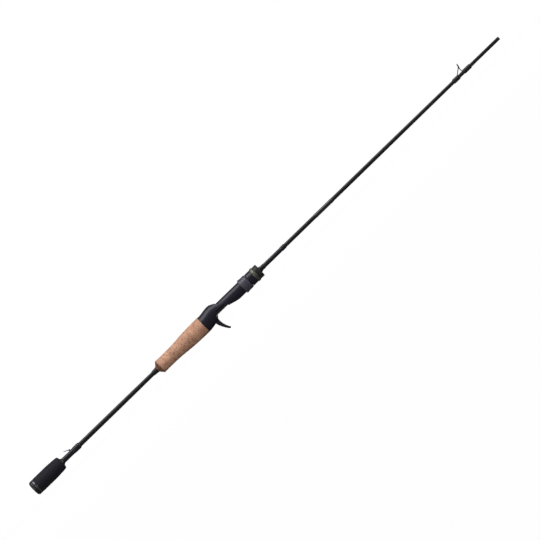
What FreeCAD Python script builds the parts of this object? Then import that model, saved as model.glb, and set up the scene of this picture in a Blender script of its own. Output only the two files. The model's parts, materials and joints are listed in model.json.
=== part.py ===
"""Butt section of a two-piece casting rod, built as separate named pieces.

Frame: origin at the centre of the butt cap's end face, +X along the rod to the
ferrule, +Z towards the reel, -Z towards the trigger. Millimetres, real size.
"""
import FreeCAD, Part
import math
import os
import Sketcher
from FreeCAD import Placement, Rotation, Vector

# Sizes: alias, value in mm (degrees and counts where the note says so) or the
# formula that gives it from other sizes, note. Thicknesses are over the blank.
SIZES = [
    # butt end
    ("cap_len", 7.0, "butt cap, end face to trim ring"),
    ("cap_r", 13.75, "butt cap radius"),
    ("cap_round", 4.2, "butt cap corner radius"),
    ("cap_stem_r", 8.0, "cap stem radius, carries the trim ring"),
    ("cap_stem_end", 14.0, "front end of the cap stem"),
    ("trim_len", 3.0, "metal trim ring length"),
    ("grip_r", 14.0, "butt grip largest radius"),
    ("grip_full_end", 42.0, "front end of the grip's straight part"),
    ("grip_neck_x", 59.0, "station of the grip's taper"),
    ("grip_neck_r", 13.1, "grip radius at that station"),
    ("grip_shoulder_x", 63.6, "start of the rounded front shoulder"),
    ("grip_shoulder_r", 12.5, "radius at the start of the shoulder"),
    ("grip_end", 66.9, "front face of the butt grip"),
    ("grip_end_r", 9.6, "front face radius"),
    ("grip_round", 3.4, "front shoulder rounding"),
    ("check_end", "=grip_end + 3.9", "front end of the butt winding check"),
    ("check_r", 6.9, "butt check rear radius"),
    ("check_nose_t", 0.5, "butt check thickness at its front end"),
    # blank, outer radius at seven stations, and its bore
    ("blank_x1", 110.0, "station 1"),
    ("blank_x2", 200.0, "station 2"),
    ("blank_x3", 283.0, "station 3"),
    ("blank_x4", 600.0, "station 4"),
    ("blank_x5", 815.0, "station 5"),
    ("blank_x6", 920.0, "station 6"),
    ("blank_end", 1043.0, "front end of the tube"),
    ("blank_r0", 4.45, "radius at the butt"),
    ("blank_r1", 4.13, "radius at station 1"),
    ("blank_r2", 4.08, "radius at station 2"),
    ("blank_r3", 3.76, "radius at station 3"),
    ("blank_r4", 3.64, "radius at station 4"),
    ("blank_r5", 3.54, "radius at station 5"),
    ("blank_r6", 3.30, "radius at station 6"),
    ("blank_r7", 3.12, "radius at the front end"),
    ("blank_bore_r", "=blank_r7 - 1.07", "bore radius, carries the spigot root"),
    ("spigot_root_x", "=blank_end - 58", "rear end of the spigot inside the tube"),
    ("spigot_end", "=blank_end + 61", "front end of the spigot, the rod's overall length"),
    ("spigot_r", "=blank_r7 - 0.07", "ground spigot radius"),
    ("spigot_chamfer", 0.6, "spigot end chamfer"),
    # hook keeper
    ("butt_wrap_t", 0.6, "thickness of the wrap ahead of the check"),
    ("keeper_wrap_x", 88.4, "rear end of the keeper's thread wrap"),
    ("keeper_wrap_end", 110.0, "front end of the keeper's thread wrap"),
    ("keeper_wrap_t", 1.4, "keeper wrap largest thickness"),
    ("keeper_pivot_x", "=keeper_wrap_x + 1.9", "keeper loop pivot, along the rod"),
    ("keeper_pivot_z", "=blank_r1 + 2.17", "keeper loop pivot, height over the axis"),
    ("keeper_hole_r", "=keeper_wire_r + 0.08", "eye hole radius"),
    ("keeper_eye_r", "=keeper_hole_r + 0.62", "eye outer radius"),
    ("keeper_eye_w", 1.8, "eye width across the rod"),
    ("keeper_foot_end", "=keeper_wrap_end - 3", "front end of the keeper foot"),
    ("keeper_foot_w", 2.8, "keeper foot width"),
    ("keeper_foot_z", "=blank_r1 + 0.95", "top of the keeper foot"),
    ("keeper_wire_r", 0.75, "loop wire radius"),
    ("keeper_loop_len", 9.2, "loop length, pivot line to far side"),
    ("keeper_loop_w", 4.4, "loop width between wire centres"),
    ("keeper_bend_r", "=keeper_wire_r + 0.3", "loop corner radius at the wire centre"),
    ("keeper_rise", 27.0, "loop angle above the rod line at rest, degrees"),
    # cork grip
    ("cork_check_x", 283.0, "rear end of the check behind the cork"),
    ("cork_x", "=cork_check_x + 10.6", "rear face of the cork grip"),
    ("cork_check_t", 0.64, "cork check rear thickness"),
    ("cork_check_nose_t", 1.6, "cork check front thickness"),
    ("cork_end_t", 1.65, "thickness of the end ring at its small end"),
    ("cork_lip_x", "=cork_x + 6.4", "end of the end ring's chamfer"),
    ("cork_lip_r", 12.8, "largest radius of the end ring"),
    ("cork_ring_x", "=cork_x + 7.4", "rear face of the first cork ring"),
    ("cork_ring_len", 12.7, "cork ring length, the half inch of the trade"),
    ("cork_r0", 12.6, "cork radius at ring joint 0"),
    ("cork_r1", 12.4, "cork radius at ring joint 1"),
    ("cork_r2", 12.45, "cork radius at ring joint 2"),
    ("cork_r3", 12.9, "cork radius at ring joint 3"),
    ("cork_r4", 13.95, "cork radius at ring joint 4"),
    ("cork_r5", 14.95, "cork radius at ring joint 5"),
    ("cork_r6", 15.55, "cork radius at ring joint 6"),
    ("cork_r7", 15.9, "cork radius at ring joint 7"),
    ("cork_r8", 16.0, "cork radius at the reel seat"),
    # reel seat, its stations measured from the cork
    ("seat_x", "=cork_ring_x + cork_ring_len * 8", "rear end of the reel seat"),
    ("seat_end", "=seat_x + 134.6", "front end of the reel seat"),
    ("seat_bore_r", "=thread_r - 1.9", "reel seat bore radius"),
    ("house_r0", "=cork_r8 - 0.3", "housing radius at the cork"),
    ("house_mid_x", "=seat_x + 13.4", "housing section halfway to the lip"),
    ("house_mid_r", 15.45, "radius of that section"),
    ("house_mid_z", 1.3, "height of its centre"),
    ("lip_circle_x", "=seat_x + 27.4", "housing section at the hood lip"),
    ("lip_circle_r", 15.0, "radius of that section"),
    ("lip_circle_z", 2.8, "height of its centre"),
    ("cheek_circle_x", "=seat_x + 37.4", "housing section through the cheeks"),
    ("cheek_circle_r", 14.0, "radius of that section"),
    ("cheek_circle_z", 1.8, "height of its centre"),
    ("house_end", "=seat_x + 49.4", "where the housing meets the barrel"),
    ("barrel_r", 11.4, "barrel radius, carries the reel foot"),
    ("barrel_end", "=seat_x + 93.6", "front end of the plain barrel"),
    ("lip_x", "=seat_x + 28.9", "fixed hood lip"),
    ("cheek_x", "=seat_x + 40.6", "foot of the sloping cheek edge"),
    ("cheek_z", "=barrel_r + 0.6", "height of the cheek edge there"),
    ("pocket_x", "=seat_x + 12.4", "rear end of the foot pocket"),
    ("pocket_z", 7.5, "lower edge of the foot pocket"),
    ("pocket_w1", 18.0, "pocket width at its rear end"),
    ("pocket_h1", 5.7, "pocket height there, above the lower edge"),
    ("pocket_w2", 23.4, "pocket width at the lip"),
    ("pocket_h2", 8.4, "pocket height at the lip"),
    ("pocket_w3", 19.0, "pocket width where the cheeks end"),
    ("pocket_h3", 8.2, "pocket height there"),
    ("window_x", "=seat_x + 31.9", "rear end of the open underside"),
    ("window_end", "=seat_x + 48.9", "front end of the open underside"),
    ("window_z", 1.6, "edge height of the open underside"),
    ("window_r", 16.0, "radius of the edge behind the open underside"),
    ("window_foot_x", "=seat_x + 24.3", "lower end of that edge"),
    ("window_foot_z", 13.6, "depth of its lower end"),
    ("ramp_x1", "=seat_x + 54.9", "ramp station 1"),
    ("ramp_z1", 6.3, "ramp depth at station 1"),
    ("ramp_x2", "=seat_x + 63.4", "ramp station 2"),
    ("ramp_z2", "=barrel_r - 2.8", "ramp depth at station 2"),
    ("ramp_end", "=seat_x + 83.4", "front end of the ramp"),
    ("ramp_end_z", "=barrel_r + 0.6", "ramp depth at its front end"),
    ("ramp_r", 80.0, "ramp curve radius"),
    ("trigger_w", 9.6, "trigger width across the rod"),
    ("trigger_edge", 1.4, "trigger edge rounding"),
    ("trigger_root_x", "=seat_x + 16.4", "rear edge of the trigger at its root"),
    ("trigger_root_z", 12.6, "depth of that point"),
    ("trigger_front_x", "=seat_x + 25.4", "front edge of the trigger at its root"),
    ("trigger_front_z", 11.0, "depth of that point"),
    ("trigger_tip_x", "=seat_x + 28.4", "rear edge of the trigger at its tip"),
    ("trigger_tip_z", 35.7, "depth of that point"),
    ("trigger_toe_x", "=seat_x + 32.0", "front edge of the trigger at its tip"),
    ("trigger_toe_z", 34.8, "depth of that point"),
    ("trigger_web_x", "=seat_x + 30.6", "front end of the web that meets the blank"),
    ("trigger_web_z", "=blank_r4 + 1.4", "top of the web, just under the blank's sleeve"),
    ("trigger_web_r", 12.0, "web curve radius"),
    ("trigger_back_r", 60.0, "rear edge curve radius"),
    ("trigger_face_r", 38.0, "front edge curve radius"),
    ("trigger_toe_r", 2.4, "tip rounding"),
    ("thread_r", "=barrel_r - 1.5", "seat thread crest radius"),
    ("thread_pitch", 2.0, "seat thread pitch"),
    ("thread_depth", 0.55, "seat thread depth"),
    ("key_w", 2.2, "keyway width"),
    ("key_depth", 0.8, "keyway depth"),
    ("key_gap", 0.25, "clearance round the hood's key"),
    ("arbor_rear_end", "=seat_x + 22.4", "front end of the rear arbor"),
    ("arbor_mid_x", "=seat_x + 64.4", "rear end of the middle arbor"),
    ("arbor_mid_end", "=seat_x + 89.4", "front end of the middle arbor"),
    ("arbor_front_x", "=seat_x + 100.4", "rear end of the front arbor"),
    ("window_sleeve_t", 1.0, "thickness of the sleeve on the blank in the window"),
    # sliding hood and lock nut
    ("run_gap", 0.3, "radial gap of the sliding hood and the nut"),
    ("hood_x", "=seat_x + 92.1", "rear lip of the sliding hood"),
    ("hood_end", "=hood_x + 14.9", "front face of the sliding hood"),
    ("hood_lip_r", "=barrel_r + 2.3", "radius of the hood's flared lip"),
    ("hood_lip_len", 3.8, "length of the flared lip"),
    ("hood_r", "=barrel_r + 1.8", "hood radius"),
    ("hood_pocket_r", "=hood_r - 0.25", "roof radius of the hood's foot pocket"),
    ("hood_pocket_end", "=hood_x + 12.3", "front end of the hood's foot pocket"),
    ("hood_pocket_w", 68.0, "width of the hood's foot pocket, degrees"),
    ("washer_len", 1.2, "slip washer thickness"),
    ("washer_r", "=barrel_r + 1.2", "slip washer radius"),
    ("nut_x", "=hood_end + washer_len + 0.3", "rear face of the lock nut"),
    ("nut_end", "=nut_x + 25.9", "front face of the lock nut"),
    ("nut_core_r", "=thread_r + 1.4", "radius of the threaded nut core"),
    ("sleeve_end", "=nut_x + 11.3", "front end of the nut sleeve"),
    ("sleeve_r", "=nut_core_r + 1.05", "nut sleeve radius"),
    ("nut_ring_end", "=sleeve_end + 5.4", "front end of the nut's trim ring"),
    ("nut_ring_r", "=nut_core_r + 2", "radius of the trim ring's band"),
    ("nut_ring_edge_r", "=nut_core_r + 1.45", "radius of the trim ring's edges"),
    ("nut_grip_r", "=nut_core_r + 0.95", "radius of the nut's finger grip"),
    ("knurl_count", 40.0, "grooves round the finger grip, a count"),
    ("knurl_depth", 0.45, "groove depth"),
    # in front of the reel seat
    ("front_check_end", "=seat_end + 3.8", "front end of the front winding check"),
    ("front_check_t", 1.6, "front check rear thickness"),
    ("front_check_nose_t", 0.8, "front check front thickness"),
    ("wrap_a_end", "=front_check_end + 7.3", "front end of the first front wrap"),
    ("wrap_a_t", 0.74, "first front wrap thickness"),
    ("wrap_b_end", "=wrap_a_end + 37.7", "front end of the long front wrap"),
    ("wrap_b_t", 0.28, "long front wrap thickness"),
    ("wrap_c_end", "=wrap_b_end + 11", "front end of the third front wrap"),
    ("wrap_c_t", 0.66, "third front wrap thickness"),
    ("label_x", 667.0, "rear end of the clear sleeve"),
    ("label_end", 704.0, "front end of the clear sleeve"),
    ("label_t", 0.23, "clear sleeve thickness"),
    ("band_end", 708.5, "front end of the sleeve's end band"),
    ("band_t", 0.4, "end band thickness"),
    # line guide
    ("guide_x", 1020.3, "guide ring centre, along the rod"),
    ("guide_z", 13.7, "guide ring centre, height over the axis"),
    ("guide_lean", 16.0, "lean of the ring towards the ferrule, degrees"),
    ("guide_frame_r", 4.75, "outer radius of the frame's ring"),
    ("guide_seat_r", "=guide_frame_r - 0.75", "radius where the insert sits"),
    ("guide_hole_r", "=guide_seat_r - 0.6", "line hole radius"),
    ("guide_frame_t", 1.5, "frame ring thickness"),
    ("guide_insert_t", 1.9, "insert thickness"),
    ("guide_leg_x", "=guide_x - 12.1", "rear leg, where it leaves the foot"),
    ("guide_leg_slope", 39.0, "rear leg angle over the rod line, degrees"),
    ("guide_leg_len", 14.6, "rear leg length"),
    ("guide_leg_t", 1.3, "leg thickness"),
    ("guide_leg_w", "=guide_frame_r * 2 - 0.6", "width over the two rear arms at the ring"),
    ("guide_arm_w", 1.15, "width of one rear arm"),
    ("guide_foot_w", 2.4, "foot width"),
    ("guide_foot_t", 0.75, "foot thickness over the blank"),
    ("guide_foot_x", "=guide_leg_x - 10.6", "rear end of the rear foot"),
    ("guide_strut_x", "=guide_x - 0.9", "front strut, along the rod"),
    ("guide_front_end", "=guide_x + 13.7", "front end of the front foot"),
    ("guide_wrap_x", "=guide_foot_x - 2", "rear end of the rear guide wrap"),
    ("guide_wrap_end", "=guide_leg_x + 1.8", "front end of the rear guide wrap"),
    ("guide_wrap_t", 1.12, "rear guide wrap thickness"),
    ("tip_wrap_x", "=guide_x - 0.1", "rear end of the front guide wrap"),
    ("tip_wrap_end", "=guide_front_end + 2.5", "front end of the front guide wrap"),
    ("tip_wrap_t", 1.06, "front guide wrap thickness"),
    ("wrap_taper", 2.2, "length of a wrap's tapered end"),
]

doc = FreeCAD.newDocument("casting_rod_butt")
sheet = doc.addObject("Spreadsheet::Sheet", "sizes")
for row, (alias, number, note) in enumerate(SIZES, start=1):
    sheet.set(f"A{row}", alias)
    sheet.setAlias(f"B{row}", alias)
    sheet.set(f"C{row}", note)
for row, (alias, number, note) in enumerate(SIZES, start=1):
    sheet.set(f"B{row}", str(number))
doc.recompute()


class Size:
    """A number kept together with the sheet expression that gives it."""

    def __init__(self, number, text):
        self.number = float(number)
        self.text = text

    @staticmethod
    def of(other):
        return other if isinstance(other, Size) else Size(other, repr(float(other)))

    def __add__(self, other):
        other = Size.of(other)
        return Size(self.number + other.number, f"({self.text} + {other.text})")

    def __sub__(self, other):
        other = Size.of(other)
        return Size(self.number - other.number, f"({self.text} - {other.text})")

    def __mul__(self, other):
        other = Size.of(other)
        return Size(self.number * other.number, f"({self.text} * {other.text})")

    def __truediv__(self, other):
        other = Size.of(other)
        return Size(self.number / other.number, f"({self.text} / {other.text})")

    def __neg__(self):
        return Size(-self.number, f"(-1 * {self.text})")

    def __radd__(self, other):
        return Size.of(other) + self

    def __rsub__(self, other):
        return Size.of(other) - self


class Sheet:
    """The driving sizes by alias, as Size values."""

    def __getattr__(self, alias):
        return Size(float(sheet.get(alias)), f"sizes.{alias}")


ARC_EASE = 0.02   # keeps a half round's sketch clear of its exact half turn
EDGE_T = 0.12     # thickness a wrap's varnish runs out to
SKEW_W = 0.35     # how far the guide strut's top leans back

d = Sheet()
nodes = []


def plane(body, role):
    """The body's own origin plane with this role."""
    return next(f for f in body.Origin.OriginFeatures if f.Role == role)


def new_body(name):
    body = doc.addObject("PartDesign::Body", name)
    body.Label = name
    return body


def new_sketch(body, name, role="XZ_Plane", offset=None):
    """Sketch flat on an origin plane, moved out along the plane's normal by offset."""
    sketch = body.newObject("Sketcher::SketchObject", name)
    sketch.AttachmentSupport = [(plane(body, role), "")]
    sketch.MapMode = "FlatFace"
    if offset is not None:
        sketch.setExpression("AttachmentOffset.Base.z", offset.text)
    doc.recompute()
    return sketch


def bind(sketch, constraint, size):
    """Add a constraint whose last argument is a number and tie it to the sheet."""
    kind, *where = constraint
    index = sketch.addConstraint(Sketcher.Constraint(kind, *where, size.number))
    sketch.setExpression(f"Constraints[{index}]", size.text)


def hold(sketch, edge, end, x, y):
    """Hold one end of an edge at x, y from the sketch origin."""
    for size, kind, axis in ((x, "DistanceX", -2), (y, "DistanceY", -1)):
        if size is None or abs(Size.of(size).number) < 1e-9:
            sketch.addConstraint(Sketcher.Constraint("PointOnObject", edge, end, axis))
        else:
            bind(sketch, (kind, -1, 1, edge, end), Size.of(size))


def outline(sketch, corners):
    """Closed outline through the corners.

    A corner is (x, y), or (x, y, radius, side) when the edge that leaves it is an
    arc; side is +1 with the arc's centre to the left of the edge, -1 to the right.
    """
    count = len(corners)
    spots = [Vector(Size.of(c[0]).number, Size.of(c[1]).number, 0) for c in corners]
    ends = []
    for i, corner in enumerate(corners):
        a, b = spots[i], spots[(i + 1) % count]
        if len(corner) == 2:
            sketch.addGeometry(Part.LineSegment(a, b), False)
            ends.append((1, 2))
            continue
        radius, side = Size.of(corner[2]).number, corner[3]
        chord = b - a
        rise = math.sqrt(round(radius ** 2 - (chord.Length / 2) ** 2, 9))
        left = Vector(-chord.y, chord.x, 0).normalize()
        centre = (a + b) * 0.5 + left * (rise * side)
        first, last = (a, b) if side > 0 else (b, a)
        circle = Part.Circle(centre, Vector(0, 0, 1), radius)
        angles = [math.atan2(p.y - centre.y, p.x - centre.x) for p in (first, last)]
        sketch.addGeometry(Part.ArcOfCircle(circle, *angles), False)
        ends.append((1, 2) if side > 0 else (2, 1))
    for i in range(count):
        after = (i + 1) % count
        sketch.addConstraint(
            Sketcher.Constraint("Coincident", i, ends[i][1], after, ends[after][0]))
    for i, corner in enumerate(corners):
        hold(sketch, i, ends[i][0], corner[0], corner[1])
        if len(corner) == 4:
            bind(sketch, ("Radius", i), Size.of(corner[2]))
    doc.recompute()
    return sketch


def feature(body, kind, name, sketch, **settings):
    """PartDesign feature on a sketch, made the body's tip."""
    made = body.newObject(f"PartDesign::{kind}", name)
    made.Profile = sketch
    for key, setting in settings.items():
        if isinstance(setting, Size):
            made.setExpression(key, setting.text)
        else:
            setattr(made, key, setting)
    sketch.Visibility = False
    body.Tip = made
    doc.recompute()
    return made


def around(body, kind, name, sketch, angle=360.0, centred=False):
    """Revolution or Groove about the rod's axis."""
    return feature(body, kind, name, sketch, ReferenceAxis=(sketch, ["H_Axis"]),
                   Angle=angle, Midplane=centred)


def turned(name, corners):
    """Body turned about the rod's axis from an outline of (x, radius) corners."""
    body = new_body(name)
    sketch = outline(new_sketch(body, f"{name}_outline"), corners)
    around(body, "Revolution", f"{name}_turn", sketch)
    nodes.append(body)
    return body


BLANK = [(d.cap_stem_end, d.blank_r0), (d.blank_x1, d.blank_r1), (d.blank_x2, d.blank_r2),
         (d.blank_x3, d.blank_r3), (d.blank_x4, d.blank_r4), (d.blank_x5, d.blank_r5),
         (d.blank_x6, d.blank_r6), (d.blank_end, d.blank_r7)]


def on_blank(x):
    """Point of the blank's surface at x."""
    x = Size.of(x)
    for (xa, ra), (xb, rb) in zip(BLANK, BLANK[1:]):
        if x.number <= xb.number:
            return x, ra + (rb - ra) * (x - xa) / (xb - xa)
    return x, BLANK[-1][1]


def over(x, thick):
    """Point at x, this far over the blank's surface."""
    x, radius = on_blank(x)
    return x, radius + thick


def blank_bore(front, rear):
    """Corners of a bore that follows the blank, from the front end to the rear end."""
    front, rear = Size.of(front), Size.of(rear)
    between = [p for p in BLANK if rear.number < p[0].number < front.number]
    return [on_blank(front)] + between[::-1] + [on_blank(rear)]


def collar(name, corners):
    """Turned piece glued on the blank: its outer (x, radius) corners, rear to front."""
    return turned(name, list(corners) + blank_bore(corners[-1][0], corners[0][0]))


def wrap(name, rear, front, thick, taper=d.wrap_taper):
    """Thread wrap under varnish: full thickness with a tapered run-out at each end."""
    rear, front = Size.of(rear), Size.of(front)
    crest = taper * 0.45
    return collar(name, [
        over(rear, EDGE_T), over(rear + crest, thick - EDGE_T), over(rear + taper, thick),
        over(front - taper, thick), over(front - crest, thick - EDGE_T), over(front, EDGE_T)])


# --- butt end ---------------------------------------------------------------------
grip_x = d.cap_len + d.trim_len
turned("butt_cap", [
    (0, 0), (0, d.cap_r - d.cap_round, d.cap_round, -1), (d.cap_round, d.cap_r),
    (d.cap_len, d.cap_r), (d.cap_len, d.cap_stem_r), (d.cap_stem_end, d.cap_stem_r),
    (d.cap_stem_end, 0)])
turned("butt_trim_ring", [
    (d.cap_len, d.cap_stem_r), (d.cap_len, d.cap_r - 0.35), (d.cap_len + 0.4, d.cap_r + 0.1),
    (grip_x - 0.4, d.cap_r + 0.1), (grip_x, d.cap_r - 0.25), (grip_x, d.cap_stem_r)])
turned("butt_grip", [
    (grip_x, d.cap_stem_r), (grip_x, d.cap_r - 0.2), (grip_x + 1.2, d.grip_r),
    (d.grip_full_end, d.grip_r), (d.grip_neck_x, d.grip_neck_r),
    (d.grip_shoulder_x, d.grip_shoulder_r, d.grip_round, -1), (d.grip_end, d.grip_end_r)]
    + blank_bore(d.grip_end, d.cap_stem_end) + [(d.cap_stem_end, d.cap_stem_r)])
collar("butt_check", [
    (d.grip_end, d.check_r), (d.grip_end + 0.9, d.check_r - 0.15),
    over(d.check_end - 0.5, d.check_nose_t + 0.15), over(d.check_end, d.check_nose_t)])
collar("butt_wrap", [
    over(d.check_end, d.butt_wrap_t), over(d.keeper_wrap_x, d.butt_wrap_t)])

# --- blank and spigot -------------------------------------------------------------
turned("blank", BLANK + [(d.blank_end, d.blank_bore_r), (d.cap_stem_end, d.blank_bore_r)])
turned("ferrule_spigot", [
    (d.spigot_root_x, 0), (d.spigot_root_x, d.blank_bore_r), (d.blank_end, d.blank_bore_r),
    (d.blank_end, d.spigot_r), (d.spigot_end - d.spigot_chamfer, d.spigot_r),
    (d.spigot_end, d.spigot_r - d.spigot_chamfer), (d.spigot_end, 0)])

# --- hook keeper ------------------------------------------------------------------
keeper = new_body("keeper_base")
eye_half = d.keeper_eye_w / 2
foot_start = d.keeper_pivot_x - d.keeper_eye_r
foot = outline(new_sketch(keeper, "keeper_foot_side"), [
    (foot_start, 1), (foot_start, d.keeper_foot_z), (d.keeper_foot_end - 4, d.keeper_foot_z),
    (d.keeper_foot_end, d.keeper_foot_z - 0.6), (d.keeper_foot_end, 1)])
feature(keeper, "Pad", "keeper_foot", foot, Length=d.keeper_foot_w, Midplane=True)
cheek = outline(new_sketch(keeper, "keeper_eye_side"), [
    (foot_start, d.keeper_foot_z - 1),
    (foot_start, d.keeper_pivot_z, d.keeper_eye_r + ARC_EASE, -1),
    (d.keeper_pivot_x + d.keeper_eye_r, d.keeper_pivot_z),
    (d.keeper_pivot_x + d.keeper_eye_r + 1.5, d.keeper_foot_z - 1)])
feature(keeper, "Pad", "keeper_eye", cheek, Length=d.keeper_eye_w, Midplane=True)
hole = new_sketch(keeper, "keeper_hole_side")
hole.addGeometry(Part.Circle(
    Vector(d.keeper_pivot_x.number, d.keeper_pivot_z.number, 0), Vector(0, 0, 1),
    d.keeper_hole_r.number), False)
hold(hole, 0, 3, d.keeper_pivot_x, d.keeper_pivot_z)
bind(hole, ("Radius", 0), d.keeper_hole_r)
feature(keeper, "Pocket", "keeper_hole", hole, Type="ThroughAll", Midplane=True)
under = outline(new_sketch(keeper, "keeper_saddle_outline"), [
    (foot_start - 2, 0), on_blank(foot_start - 2), on_blank(d.keeper_foot_end + 2),
    (d.keeper_foot_end + 2, 0)])
around(keeper, "Groove", "keeper_saddle", under)
nodes.append(keeper)

loop = new_body("keeper_loop")
track = new_sketch(loop, "keeper_loop_path", "XY_Plane")
track.setExpression("AttachmentOffset.Base.x", d.keeper_pivot_x.text)
track.setExpression("AttachmentOffset.Base.z", d.keeper_pivot_z.text)
track.AttachmentOffset = Placement(
    Vector(d.keeper_pivot_x.number, 0, d.keeper_pivot_z.number),
    Rotation(Vector(0, 1, 0), d.keeper_rise.number))
track.setExpression("AttachmentOffset.Rotation.Angle", d.keeper_rise.text)
half, bend, reach = d.keeper_loop_w / 2, d.keeper_bend_r, -d.keeper_loop_len
outline(track, [
    (0, half - bend), (0, -half + bend, bend, -1), (-bend, -half),
    (reach + bend, -half, bend, -1), (reach, -half + bend), (reach, half - bend, bend, -1),
    (reach + bend, half), (-bend, half, bend, -1)])
section = new_sketch(loop, "keeper_wire_section")
section.addGeometry(Part.Circle(
    Vector(d.keeper_pivot_x.number, d.keeper_pivot_z.number, 0), Vector(0, 0, 1),
    d.keeper_wire_r.number), False)
hold(section, 0, 3, d.keeper_pivot_x, d.keeper_pivot_z)
bind(section, ("Radius", 0), d.keeper_wire_r)
feature(loop, "AdditivePipe", "keeper_wire", section, Spine=track)
nodes.append(loop)


def cut_by(name, piece, tool):
    """Piece with the other piece's shape taken out of it, so the two only touch."""
    made = doc.addObject("Part::Cut", name)
    made.Label = name
    made.Base = piece
    made.Tool = tool
    nodes.remove(piece)
    nodes.append(made)
    doc.recompute()
    return made


keeper_skin = collar("keeper_wrap_skin", [
    over(d.keeper_wrap_x, d.butt_wrap_t), over(d.keeper_wrap_x + 5, d.butt_wrap_t + 0.15),
    over(d.keeper_wrap_x + 8.5, d.keeper_wrap_t - 0.15),
    over(d.keeper_wrap_x + 11, d.keeper_wrap_t), over(d.keeper_wrap_end - 3.5, d.keeper_wrap_t),
    over(d.keeper_wrap_end - 1.2, d.keeper_wrap_t - 0.3), over(d.keeper_wrap_end, EDGE_T)])
cut_by("keeper_wrap", keeper_skin, keeper)

# --- cork grip --------------------------------------------------------------------
collar("cork_check", [
    over(d.cork_check_x, d.cork_check_t), over(d.cork_check_x + 5.5, d.cork_check_t + 0.35),
    over(d.cork_x, d.cork_check_nose_t)])
collar("cork_end_ring", [
    over(d.cork_x, d.cork_end_t), (d.cork_lip_x, d.cork_lip_r), (d.cork_ring_x, d.cork_lip_r)])
for k in range(8):
    rear = d.cork_ring_x + d.cork_ring_len * k
    collar(f"cork_ring_{k + 1}", [
        (rear, getattr(d, f"cork_r{k}")), (rear + d.cork_ring_len, getattr(d, f"cork_r{k + 1}"))])

# --- reel seat --------------------------------------------------------------------
seat = new_body("reel_seat_body")


def circle_section(name, x, radius, height):
    """Circle across the rod at x, its centre at this height over the axis."""
    sketch = new_sketch(seat, name, "YZ_Plane", Size.of(x))
    sketch.addGeometry(Part.Circle(
        Vector(0, Size.of(height).number, 0), Vector(0, 0, 1), radius.number), False)
    hold(sketch, 0, 3, 0, height)
    bind(sketch, ("Radius", 0), radius)
    doc.recompute()
    return sketch


def arch_section(name, x, width, height):
    """Flat-bottomed arch across the rod at x, standing on the pocket's lower edge."""
    side = width / 2
    radius = (side * side + height * height) / (height * 2)
    return outline(new_sketch(seat, name, "YZ_Plane", Size.of(x)), [
        (-side, d.pocket_z), (side, d.pocket_z, radius, 1)])


sections = [circle_section("house_rear_circle", d.seat_x, d.house_r0, 0),
            circle_section("house_mid_circle", d.house_mid_x, d.house_mid_r, d.house_mid_z),
            circle_section("lip_circle", d.lip_circle_x, d.lip_circle_r, d.lip_circle_z),
            circle_section("cheek_circle", d.cheek_circle_x, d.cheek_circle_r,
                           d.cheek_circle_z),
            circle_section("house_end_circle", d.house_end, d.barrel_r, 0)]
feature(seat, "AdditiveLoft", "housing", sections[0], Sections=sections[1:])
arches = [arch_section("pocket_rear", d.pocket_x, d.pocket_w1, d.pocket_h1),
          arch_section("pocket_lip", d.lip_x, d.pocket_w2, d.pocket_h2),
          arch_section("pocket_front", d.house_end, d.pocket_w3, d.pocket_h3)]
feature(seat, "SubtractiveLoft", "foot_pocket", arches[0], Sections=arches[1:])
barrel = outline(new_sketch(seat, "barrel_outline"), [
    (d.pocket_x - 4, 0), (d.pocket_x - 4, d.barrel_r), (d.barrel_end, d.barrel_r),
    (d.barrel_end, d.thread_r), (d.seat_end - 0.6, d.thread_r), (d.seat_end, d.thread_r - 0.6),
    (d.seat_end, 0)])
around(seat, "Revolution", "barrel", barrel)
slope = outline(new_sketch(seat, "cheek_cut_side"), [
    (d.lip_x, 30), (d.lip_x, d.lip_circle_z + d.lip_circle_r - 0.1), (d.cheek_x, d.cheek_z),
    (d.house_end + 1, d.barrel_r + 0.3), (d.house_end + 1, 30)])
feature(seat, "Pocket", "cheek_cut", slope, Type="ThroughAll", Midplane=True)
window = outline(new_sketch(seat, "window_side"), [
    (d.window_x, d.window_z), (d.window_end, d.window_z), (d.ramp_x1, -d.ramp_z1),
    (d.ramp_x2, -d.ramp_z2, d.ramp_r, 1), (d.ramp_end, -d.ramp_end_z), (d.ramp_end, -30),
    (d.window_foot_x, -30), (d.window_foot_x, -d.window_foot_z, d.window_r, -1)])
feature(seat, "Pocket", "window", window, Type="ThroughAll", Midplane=True)
bore = circle_section("seat_bore_circle", d.seat_x, d.seat_bore_r, 0)
feature(seat, "Pocket", "seat_bore", bore, Type="ThroughAll", Midplane=True)
wall_z = d.seat_bore_r + 0.3
blade = new_body("trigger_blade")
trigger = outline(new_sketch(blade, "trigger_side"), [
    (d.trigger_root_x + 0.6, -wall_z), (d.trigger_root_x, -d.trigger_root_z, d.trigger_back_r, 1),
    (d.trigger_tip_x, -d.trigger_tip_z, d.trigger_toe_r, 1),
    (d.trigger_toe_x, -d.trigger_toe_z, d.trigger_face_r, -1),
    (d.trigger_front_x, -d.trigger_front_z, d.trigger_web_r, -1),
    (d.trigger_web_x, -d.trigger_web_z),
    (d.arbor_rear_end + 0.4, -d.trigger_web_z), (d.arbor_rear_end + 0.4, -wall_z)])
finger = feature(blade, "Pad", "trigger", trigger, Length=d.trigger_w, Midplane=True)
rims = [f"Edge{k}" for k, edge in enumerate(finger.Shape.Edges, start=1)
        if edge.Curve.TypeId == "Part::GeomCircle"]
soft = blade.newObject("PartDesign::Fillet", "trigger_rounding")
soft.Base = (finger, rims)
soft.setExpression("Radius", d.trigger_edge.text)
blade.Tip = soft
doc.recompute()
joined = seat.newObject("PartDesign::Boolean", "seat_with_trigger")
joined.Type = "Fuse"
joined.Group = [blade]
seat.Tip = joined
doc.recompute()


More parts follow.
